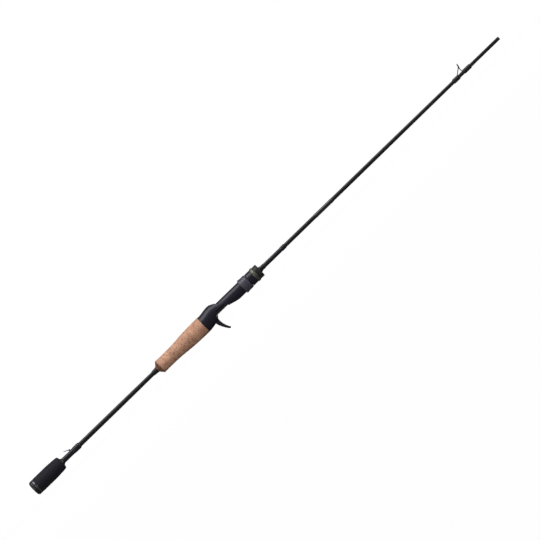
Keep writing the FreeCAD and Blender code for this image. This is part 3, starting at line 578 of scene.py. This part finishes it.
def steel_finish(name, colour, roughness, edge):
    """Plated wire and sheet: an even dark plating with slight orange peel."""
    f = Finish(name)
    peel = f.noise(0.35 * MM, detail=2)
    smudge = f.noise(2.5 * MM, detail=3)
    shade = f.step(peel * 0.4 + smudge * 0.6, 0.3, 0.7)
    return f.coat(
        Base_Color=f.blend(shade, tint(colour, 0.8), tint(colour, 1.2)),
        Roughness=roughness + 0.12 * shade,
        Metallic=1.0,
        Normal=f.bump(peel, 0.004 * MM, f.eased(edge)),
    )


def ceramic_finish(colour):
    """Polished ceramic: almost even, with faint grinding haze."""
    f = Finish("ceramic_polished")
    haze = f.noise(0.5 * MM, detail=3)
    shade = f.step(haze, 0.35, 0.65)
    return f.coat(
        Base_Color=f.blend(shade, tint(colour, 0.85), tint(colour, 1.2)),
        Roughness=0.10 + 0.08 * shade,
        Coat_Weight=0.5,
        Coat_Roughness=0.05,
    )


def resin_finish(name, colour, pearl, roughness, edge):
    """Satin paint on moulded resin: pearl flakes, fine peel, eased edges."""
    f = Finish(name)
    flakes = f.grains(0.10 * MM, outlet="Color")
    spark = f.node("SeparateColor", None, {"Color": flakes}, "Red")
    peel = f.noise(0.45 * MM, detail=2)
    clouds = f.noise(11 * MM, detail=2)
    shade = f.step(spark * 0.45 + clouds * 0.55, 0.25, 0.75)
    return f.coat(
        Base_Color=f.blend(shade, tint(colour, 0.8), tint(colour, 1.35)),
        Roughness=roughness + 0.08 * f.step(peel, 0.3, 0.7),
        Metallic=pearl,
        Normal=f.bump(peel * 0.8 + spark * 0.2, 0.012 * MM, f.eased(edge)),
        Coat_Weight=0.15,
        Coat_Roughness=0.3,
    )


def cork_finish(light, dark, pit_colour, shift):
    """Natural cork: warm patches, fine grain, brown pits and a glue line at each end.

    The pits and glue lines follow the mesh's own marks; the rest is noise moved by the
    ring's own shift, so that no two rings match.
    """
    f = Finish("cork_natural")
    f.place = f.node("Mapping", None, {"Vector": f.place, "Location": shift})
    patches = f.noise(6.5 * MM, stretch=(1, 1.8, 1.8), detail=3, roughness=0.6)
    grain = f.noise(0.55 * MM, stretch=(1.6, 1, 1), detail=4, roughness=0.65)
    cells = f.grains(0.9 * MM)
    streaks = f.noise(1.3 * MM, stretch=(0.6, 3, 3), detail=3)
    tone = f.step(patches * 0.45 + grain * 0.3 + streaks * 0.25, 0.34, 0.66)
    base = f.blend(tone, dark, light)
    freckle = f.step(grain * 0.6 + cells * 0.5, 0.62, 0.80)
    base = f.blend(freckle * 0.45, base, tint(pit_colour, 1.8))
    base = f.blend(f.step(f.mark("pit"), 0.02, 0.35), base, pit_colour)
    base = f.blend(f.mark("seam") * 0.7, base, pit_colour)
    return f.coat(
        Base_Color=base,
        Roughness=0.68 + 0.2 * freckle,
        Normal=f.bump(grain * 0.6 + cells * 0.4, 0.10 * MM),
        Specular_IOR_Level=0.3,
    )


def burnt_cork_finish(dark, light):
    """Burnt cork: pressed granules from near black to tan, with dark seams between."""
    f = Finish("cork_burnt")
    colour = f.grains(1.25 * MM, outlet="Color")
    pick = f.node("SeparateColor", None, {"Color": colour}, "Green")
    gaps = f.grains(1.25 * MM, feature="DISTANCE_TO_EDGE")
    grain = f.noise(0.4 * MM, detail=3)
    base = f.blend(f.step(pick + grain * 0.3, 0.2, 1.1), dark, light)
    seam = 1 - f.step(gaps, 0.0, 0.12)
    base = f.blend(seam * 0.6, base, tint(dark, 0.4))
    return f.coat(
        Base_Color=base,
        Roughness=0.66 + 0.15 * grain,
        Normal=f.bump(grain * 0.5 - seam * 0.5, 0.10 * MM),
        Specular_IOR_Level=0.3,
    )


def stage_finish(colour, glow, bounce):
    """Pale floor: slightly uneven, with its own glow so that it stays near white."""
    f = Finish("stage_pale")
    clouds = f.step(f.noise(0.6, detail=2), 0.3, 0.7)
    seen = f.node("LightPath", None, None, "Is Camera Ray")
    pale = f.blend(clouds, tint(colour, 0.985), colour)
    return f.coat(
        Base_Color=f.blend(seen, (bounce,) * 3, pale),
        Roughness=0.9,
        Emission_Color=f.blend(seen, (0, 0, 0), (glow,) * 3),
        Emission_Strength=1.0,
        Specular_IOR_Level=0.1,
    )


# ---------------------------------------------------------------- settings


def length(name, description, default):
    return FloatProperty(
        name=name, description=description, default=default, unit="LENGTH", precision=6
    )


def paint(name, description, default):
    return FloatVectorProperty(
        name=name,
        description=description,
        default=default,
        subtype="COLOR",
        min=0.0,
        max=1.0,
    )


def part(name, description, default):
    return FloatProperty(
        name=name,
        description=description,
        default=default,
        subtype="FACTOR",
        min=0.0,
        max=1.0,
    )


def count(name, description, default):
    return IntProperty(name=name, description=description, default=default, min=8)


class RodTubeSettings(bpy.types.PropertyGroup):
    colour: paint("Carbon", "Colour of the carbon", (0.009, 0.009, 0.010))
    gloss: part("Roughness", "Roughness under the varnish", 0.26)
    step: length("Row spacing", "Distance between rows along the tube", 4 * MM)
    around: count("Sides", "Points round the tube", 72)


class RodThreadSettings(bpy.types.PropertyGroup):
    colour: paint("Thread", "Colour of the thread", (0.006, 0.0055, 0.010))
    # the crown colour is a painted highlight on each turn's crown
    crown: paint("Crown", "Colour of a turn's crown", (0.013, 0.012, 0.019))
    pitch: length("Pitch", "Thickness of the wound thread", 0.3 * MM)
    height: length("Ridge", "Height of a turn over its valleys", 0.035 * MM)
    around: count("Sides", "Points round a wrap", 40)


class RodButtSettings(bpy.types.PropertyGroup):
    foam: paint("Foam", "Colour of the foam grip", (0.004, 0.0037, 0.0072))
    rubber: paint("Cap", "Colour of the rubber cap", (0.006, 0.006, 0.008))
    ring: paint("Ring", "Colour of the bright ring", (0.16, 0.157, 0.175))
    pebble: length("Pebble", "Size of the foam's pebble", 0.9 * MM)
    pebble_height: length("Pebble height", "Height of the foam's pebble", 0.05 * MM)
    dish: length("Dish", "Depth of the dish in the cap's face", 0.5 * MM)
    around: count("Sides", "Points round the grip", 240)


class RodCorkSettings(bpy.types.PropertyGroup):
    light: paint("Light", "Palest cork", (0.68, 0.39, 0.262))
    dark: paint("Dark", "Darkest sound cork", (0.47, 0.235, 0.145))
    pit: paint("Pit", "Colour inside a pit", (0.14, 0.06, 0.03))
    burnt: paint("Burnt", "Darkest granule of the end ring", (0.06, 0.024, 0.014))
    burnt_light: paint("Burnt light", "Palest granule", (0.34, 0.15, 0.085))
    pit_size: length("Pit size", "Spacing of the pits", 2.1 * MM)
    pit_depth: length("Pit depth", "Depth of the deepest pit", 0.32 * MM)
    pit_share: part("Pit share", "Share of places that hold a pit", 0.34)
    seam: length("Glue line", "Width of the glue line at a ring's end", 0.16 * MM)
    grain: length("Grain height", "Height of the sanded grain", 0.05 * MM)
    around: count("Sides", "Points round a ring", 300)


class RodSeatSettings(bpy.types.PropertyGroup):
    colour: paint("Seat", "Colour of the satin seat", (0.010, 0.008, 0.019))
    hood: paint("Hood", "Colour of the sliding hood", (0.060, 0.056, 0.078))
    pearl: part("Pearl", "Share of metallic pearl in the paint", 0.2)
    gloss: part("Roughness", "Roughness of the satin paint", 0.36)
    edge: length("Eased edge", "Radius that softens the moulding's edges", 0.35 * MM)


class RodNutSettings(bpy.types.PropertyGroup):
    trim: paint("Trim ring", "Colour of the olive ring", (0.175, 0.175, 0.145))
    rubber: paint("Finger grip", "Colour of the fluted rubber", (0.018, 0.018, 0.017))
    edge: length("Eased edge", "Radius that softens the nut's edges", 0.2 * MM)


class RodGuideSettings(bpy.types.PropertyGroup):
    steel: paint("Frame", "Colour of the guide's frame", (0.15, 0.15, 0.165))
    ceramic: paint("Ring", "Colour of the ceramic ring", (0.075, 0.075, 0.085))
    keeper: paint("Keeper", "Colour of the keeper's wire", (0.40, 0.385, 0.43))
    edge: length("Eased edge", "Radius that softens the sheet's edges", 0.15 * MM)


class RodStageSettings(bpy.types.PropertyGroup):
    lens: FloatProperty(
        name="Lens", description="Focal length in millimetres", default=250.0
    )
    width: length("View width", "Width that the view shows at the rod", 0.9194)
    lean: FloatProperty(
        name="Lean",
        description="Angle of the rod over the view's horizon",
        default=math.radians(44.15),
        subtype="ANGLE",
    )
    aim_x: length("Aim along", "Aim point from the rod's middle, along it", -3.03 * MM)
    aim_z: length("Aim up", "Aim point from the rod's axis, upwards", -12.1 * MM)
    key: FloatProperty(name="Key", description="Power of the key light", default=27.0)
    fill: FloatProperty(
        name="Fill", description="Power of each light off an end", default=20.0
    )
    sky: part("Sky", "Strength of the light from all round", 0.15)
    floor: paint("Floor", "Colour of the floor", (0.1, 0.1, 0.1))


# ---------------------------------------------------------------- the pieces


class ROD_OT_tube(bpy.types.Operator):
    """Make the varnished tube, the ground spigot and the clear sleeve with its band"""

    bl_idname = "rod.tube"
    bl_label = "Tube and Spigot"

    def execute(self, context):
        s = context.scene.rod_tube
        varnished = carbon_finish(s.colour, s.gloss)
        rear, front = reach("blank")
        stations = np.linspace(rear, front, int((front - rear) / s.step))
        radii = outer_radius("blank", stations)
        spigot = outer_radius("ferrule_spigot", [front])[0]
        profile = with_bore(stations, radii, (0.6 * radii[0], spigot))
        tube = skin("tube_varnished", turned_grid(*profile, s.around)[0])
        sharpen(tube, 40)
        settle(tube, varnished, "blank")

        rear, front = reach("ferrule_spigot")
        chamfer, plug, depth = 0.6 * MM, 0.42 * spigot, 0.5 * MM
        stations = np.array([rear, rear, front - chamfer, front, front])
        stations = np.append(stations, [front - depth, front - depth])
        radii = np.array([0, spigot, spigot, spigot - chamfer, plug, plug, 0])
        grid = turned_grid(stations, radii, s.around)[0]
        ground = skin("spigot_ground", grid, ring=False)
        sharpen(ground, 30)
        settle(ground, ground_finish(s.colour), "ferrule_spigot")

        clear = sleeve_finish(s.colour)
        for name, node in (
            ("sleeve_clear", "label_sleeve"),
            ("sleeve_end_band", "label_end_band"),
            ("sleeve_window", "blank_sleeve"),
        ):
            turned_piece(name, node, clear, 0.5 * MM, 0.12 * MM, s.around)
        return {"FINISHED"}


class ROD_OT_wraps(bpy.types.Operator):
    """Wind the thread wraps: a helical ridge round each wrap, under its varnish"""

    bl_idname = "rod.wraps"
    bl_label = "Thread Wraps"

    def execute(self, context):
        s = context.scene.rod_thread
        # s.crown is the colour of the painted highlight on each turn's crown
        finish = thread_finish("thread_varnished", s.colour, s.crown)

        def turns(grid, angles):
            """Ridges of the winding: sqrt(1 - u^2), u from -1 to 1 across each turn."""
            phase = grid[..., 0] / s.pitch + angles / TURN
            across = 2 * (phase - np.floor(phase)) - 1
            crown = np.sqrt(np.maximum(1 - across**2, 0))
            return s.height * (crown - 1), crown

        for node in THREAD_WRAPS:
            turned_piece(
                f"{node}_wound",
                node,
                finish,
                step=s.pitch / 6,
                corner=0.15 * MM,
                around=s.around,
                relief=turns,
                mark="crown",
            )
        return {"FINISHED"}


class ROD_OT_butt(bpy.types.Operator):
    """Make the rubber cap, the bright ring, the foam grip and its winding check"""

    bl_idname = "rod.butt"
    bl_label = "Butt End"

    def execute(self, context):
        s = context.scene.rod_butt
        self.cap(s)
        bright = lathe_finish("ring_bright", s.ring, 0.3, 0.2 * MM)
        turned_piece(
            "trim_ring_turned", "butt_trim_ring", bright, 0.25 * MM, 0.35 * MM, 128
        )
        finish = foam_finish(s.foam)

        def pebbles(grid, angles):
            """Two sizes of smooth noise, one twice as fine, about their middle height."""
            coarse = drift(grid, s.pebble, 11)
            fine = drift(grid, s.pebble / 2, 12)
            return s.pebble_height * (0.6 * coarse + 0.4 * fine - 1), coarse

        grip = turned_piece(
            "foam_grip",
            "butt_grip",
            finish,
            step=0.35 * MM,
            corner=0.3 * MM,
            around=s.around,
            relief=pebbles,
        )
        check = rubber_finish("check_satin", s.rubber, 0.3, 0.15 * MM)
        for node in ("butt_check", "cork_check", "front_check"):
            turned_piece(f"{node}_turned", node, check, 0.3 * MM, 0.3 * MM, 96)
        return {"FINISHED"}

    def cap(self, s):
        """The cap's profile: a dished face, a rim, the rounded corner and the wall.

        Squared shares of its length put more stations round the corner at its face.
        """
        front = reach("butt_trim_ring")[0]
        stations = front * np.linspace(0, 1, 40) ** 2
        radii = outer_radius("butt_cap", stations)
        rim = radii[0]
        stations = np.concatenate([s.dish * DISH_SINK, stations, [front, front]])
        radii = np.concatenate([rim * DISH_RADII, radii, [0.6 * rim, 0]])
        grid = turned_grid(stations, radii, 160)[0]
        piece = skin("cap_moulded", grid, ring=False)
        sharpen(piece, 60)
        settle(piece, rubber_finish("rubber_cap", s.rubber, 0.42, 0.3 * MM), "butt_cap")


class ROD_OT_cork(bpy.types.Operator):
    """Turn the cork grip: eight pitted rings and the burnt, chamfered end ring"""

    bl_idname = "rod.cork"
    bl_label = "Cork Grip"

    def execute(self, context):
        s = context.scene.rod_cork
        for number, node in enumerate(CORK_RINGS):
            self.ring(s, node, number)
        burnt = burnt_cork_finish(s.burnt, s.burnt_light)

        def crumbs(grid, angles):
            """Small hollows between the granules, and a fine tooth."""
            holes = np.clip(hollows(grid, 1.6 * MM, 0.4, 71), 0, 1)
            tooth = drift(grid, 0.7 * MM, 72) - 1
            return -0.5 * s.pit_depth * holes + s.grain * tooth, holes

        turned_piece(
            "cork_end_burnt",
            "cork_end_ring",
            burnt,
            step=0.25 * MM,
            corner=0.2 * MM,
            around=s.around,
            relief=crumbs,
        )
        return {"FINISHED"}

    def ring(self, s, node, number):
        """One ring: pits drawn out round or along it, grain, and its two glue lines."""
        seed = 100 + 17 * number
        drawn = PIT_STRETCH[number % 2]
        rear, front = reach(node)
        corner = 0.1 * MM

        def surface(grid):
            pits = hollows(grid / drawn, s.pit_size, s.pit_share, seed)
            small = hollows(grid, s.pit_size / 3, 0.16, seed + 7)
            rough = drift(grid, 0.5 * MM, seed + 9)
            ragged = np.clip(pits - 0.45 + 0.5 * rough, 0, 1)
            pit = np.maximum(ragged, 0.6 * np.clip(small, 0, 1))
            swell = drift(grid, 5 * MM, seed + 3) - 1
            return s.grain * (rough - 1 + swell) - s.pit_depth * pit, pit

        stations, radii = rounded_ends(node, 0.3 * MM, corner)
        bore = outer_radius("blank", stations[[0, -1]])
        grid = turned_grid(*with_bore(stations, radii, bore), s.around)[0]
        distance = np.minimum(grid[..., 0] - rear, front - grid[..., 0])
        fade = np.clip(distance / corner, 0, 1)
        lift, pit = surface(grid)
        seam = np.clip(1 - distance / s.seam, 0, 1)
        marks = {"pit": pit * fade, "seam": seam}
        piece = skin(f"{node}_turned", push_out(grid, lift * fade), marks=marks)
        shift = tuple(RING_SHIFT * number)
        warmth = 1 + 0.07 * math.sin(2.4 * number)
        light, dark = tint(s.light, warmth), tint(s.dark, warmth)
        settle(piece, cork_finish(light, dark, s.pit, shift), node)


class ROD_OT_seat(bpy.types.Operator):
    """Finish the reel seat, its arbors, the sliding hood and the slip washer"""

    bl_idname = "rod.seat"
    bl_label = "Reel Seat"

    def execute(self, context):
        s = context.scene.rod_seat
        refinish(
            resin_finish("seat_satin", s.colour, s.pearl, s.gloss, s.edge),
            "reel_seat_body",
        )
        refinish(
            resin_finish("hood_satin", s.hood, s.pearl, s.gloss, s.edge),
            "movable_hood",
        )
        refinish(
            rubber_finish("washer_satin", s.colour, roughness=0.5, edge=s.edge),
            "hood_slip_washer",
        )
        arbors = ("seat_arbor_rear", "seat_arbor_middle", "seat_arbor_front")
        foam = rubber_finish(
            "arbor_foam", tint(s.colour, 1.5), roughness=0.8, edge=s.edge
        )
        refinish(foam, *arbors)
        return {"FINISHED"}


class ROD_OT_nut(bpy.types.Operator):
    """Finish the lock nut: threaded core, satin sleeve, olive ring and finger grip"""

    bl_idname = "rod.nut"
    bl_label = "Lock Nut"

    def execute(self, context):
        s = context.scene.rod_nut
        seat = context.scene.rod_seat
        sleeve = resin_finish("nut_sleeve_satin", seat.colour, seat.pearl, 0.3, s.edge)
        refinish(sleeve, "nut_sleeve")
        refinish(
            rubber_finish("nut_core_resin", seat.colour, 0.45, s.edge), "nut_core"
        )
        refinish(lathe_finish("ring_olive", s.trim, 0.42, s.edge), "nut_trim_ring")
        refinish(rubber_finish("rubber_fluted", s.rubber, 0.3, s.edge), "nut_grip")
        return {"FINISHED"}


class ROD_OT_guide(bpy.types.Operator):
    """Finish the line guide and the folding hook keeper"""

    bl_idname = "rod.guide"
    bl_label = "Guide and Keeper"

    def execute(self, context):
        s = context.scene.rod_guide
        refinish(steel_finish("guide_plated", s.steel, 0.34, s.edge), "guide_frame")
        refinish(ceramic_finish(s.ceramic), "guide_ring_insert")
        wire = steel_finish("keeper_plated", s.keeper, 0.32, s.edge)
        refinish(wire, "keeper_base", "keeper_loop")
        return {"FINISHED"}


class ROD_OT_stage(bpy.types.Operator):
    """Set the floor, the soft lights, the sky and the camera"""

    bl_idname = "rod.stage"
    bl_label = "Stage"

    def execute(self, context):
        s = context.scene.rod_stage
        low, high = (Vector(corner) for corner in CAD_BOX)
        middle = (low + high) / 2
        self.floor(s, low.z - FLOOR_GAP, middle)
        self.sky(context.scene, s.sky)
        aim = Vector((middle.x + s.aim_x, 0, s.aim_z))
        self.light("key_overhead", middle + KEY_PLACE, middle, s.key, KEY_LENGTH)
        for name, side in (("fill_butt_end", -1), ("fill_front_end", 1)):
            along, across, up = FILL_PLACE
            place = middle + Vector((side * along, across, up))
            self.light(name, place, middle, s.fill, FILL_LENGTH)
        self.camera(context.scene, s, aim)
        context.scene.view_settings.view_transform = "Standard"
        return {"FINISHED"}

    def floor(self, s, level, middle):
        """A round floor: rings that widen outwards, each a share larger than the last."""
        radii = np.concatenate([[0], np.geomspace(*FLOOR_RADII, FLOOR_RINGS)])
        angles = np.linspace(0, TURN, FLOOR_SIDES, endpoint=False)
        along = middle.x + radii[:, None] * np.cos(angles)
        depth = middle.y + radii[:, None] * np.sin(angles)
        height = np.full_like(along, level)
        grid = np.stack([along, depth, height], axis=-1)
        rows = np.arange(grid[..., 0].size).reshape(along.shape)
        side = np.roll(rows, -1, axis=1)
        faces = np.stack([rows[:-1], rows[1:], side[1:], side[:-1]], axis=-1)
        mesh = bpy.data.meshes.new("floor_pale")
        mesh.from_pydata(grid.reshape(-1, 3), [], faces.reshape(-1, 4))
        close_poles(mesh)
        floor = bpy.data.objects.new("floor_pale", mesh)
        bpy.context.scene.collection.objects.link(floor)
        mesh.materials.append(stage_finish(s.floor, FLOOR_GLOW, FLOOR_BOUNCE))

    def sky(self, scene, strength):
        """White behind the object, and a weaker even light on it."""
        world = bpy.data.worlds.new("sky_white")
        world.use_nodes = True
        tree = world.node_tree
        seen = tree.nodes.new("ShaderNodeLightPath")
        back = tree.nodes["Background"]
        span = tree.nodes.new("ShaderNodeMapRange")
        span.inputs["To Min"].default_value = strength
        span.inputs["To Max"].default_value = 1.0
        back.inputs["Color"].default_value = (1, 1, 1, 1)
        tree.links.new(seen.outputs["Is Camera Ray"], span.inputs["Value"])
        tree.links.new(span.outputs["Result"], back.inputs["Strength"])
        scene.world = world

    def light(self, name, place, aim, power, size):
        """A long soft box that faces its aim, its length along the rod."""
        lamp = bpy.data.lights.new(name, "AREA")
        lamp.shape = "RECTANGLE"
        lamp.size = size
        lamp.size_y = BOX_SHAPE * size
        lamp.energy = power
        box = bpy.data.objects.new(name, lamp)
        back = (place - aim).normalized()
        across = Vector((1, 0, 0))
        across = (across - back * across.dot(back)).normalized()
        up = back.cross(across)
        turn = Matrix((across, up, back)).transposed().to_4x4()
        box.matrix_world = Matrix.Translation(place) @ turn
        bpy.context.scene.collection.objects.link(box)

    def camera(self, scene, s, aim):
        """Level with the rod, square to its side, and leaned so that the rod slants."""
        data = bpy.data.cameras.new("camera_side")
        data.lens = s.lens
        distance = s.width * s.lens / data.sensor_width
        camera = bpy.data.objects.new("camera_side", data)
        right = Vector((math.cos(s.lean), 0, -math.sin(s.lean)))
        up = Vector((math.sin(s.lean), 0, math.cos(s.lean)))
        back = Vector((0, -1, 0))
        turn = Matrix((right, up, back)).transposed().to_4x4()
        camera.matrix_world = Matrix.Translation(aim + distance * back) @ turn
        data.clip_end = VIEW_REACH
        scene.collection.objects.link(camera)
        scene.camera = camera


SETTINGS = {
    "rod_tube": RodTubeSettings,
    "rod_thread": RodThreadSettings,
    "rod_butt": RodButtSettings,
    "rod_cork": RodCorkSettings,
    "rod_seat": RodSeatSettings,
    "rod_nut": RodNutSettings,
    "rod_guide": RodGuideSettings,
    "rod_stage": RodStageSettings,
}
OPERATORS = (
    ROD_OT_tube,
    ROD_OT_wraps,
    ROD_OT_butt,
    ROD_OT_cork,
    ROD_OT_seat,
    ROD_OT_nut,
    ROD_OT_guide,
    ROD_OT_stage,
)


class ROD_PT_maker(bpy.types.Panel):
    """Lists each group's settings and the button that makes it"""

    bl_idname = "ROD_PT_maker"
    bl_label = "Casting Rod"
    bl_space_type = "VIEW_3D"
    bl_region_type = "UI"
    bl_category = "Rod"

    def draw(self, context):
        for holder, group in SETTINGS.items():
            box = self.layout.box()
            for name in group.__annotations__:
                box.prop(getattr(context.scene, holder), name)
        for operator in OPERATORS:
            self.layout.operator(operator.bl_idname)


def register():
    for holder, group in SETTINGS.items():
        bpy.utils.register_class(group)
        setattr(bpy.types.Scene, holder, PointerProperty(type=group))
    for operator in OPERATORS:
        bpy.utils.register_class(operator)
    bpy.utils.register_class(ROD_PT_maker)


def unregister():
    bpy.utils.unregister_class(ROD_PT_maker)
    for operator in reversed(OPERATORS):
        bpy.utils.unregister_class(operator)
    for holder, group in SETTINGS.items():
        delattr(bpy.types.Scene, holder)
        bpy.utils.unregister_class(group)


def main():
    """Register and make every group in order."""
    register()
    for operator in OPERATORS:
        group, name = operator.bl_idname.split(".")
        getattr(getattr(bpy.ops, group), name)()


if __name__ == "__main__":
    main()
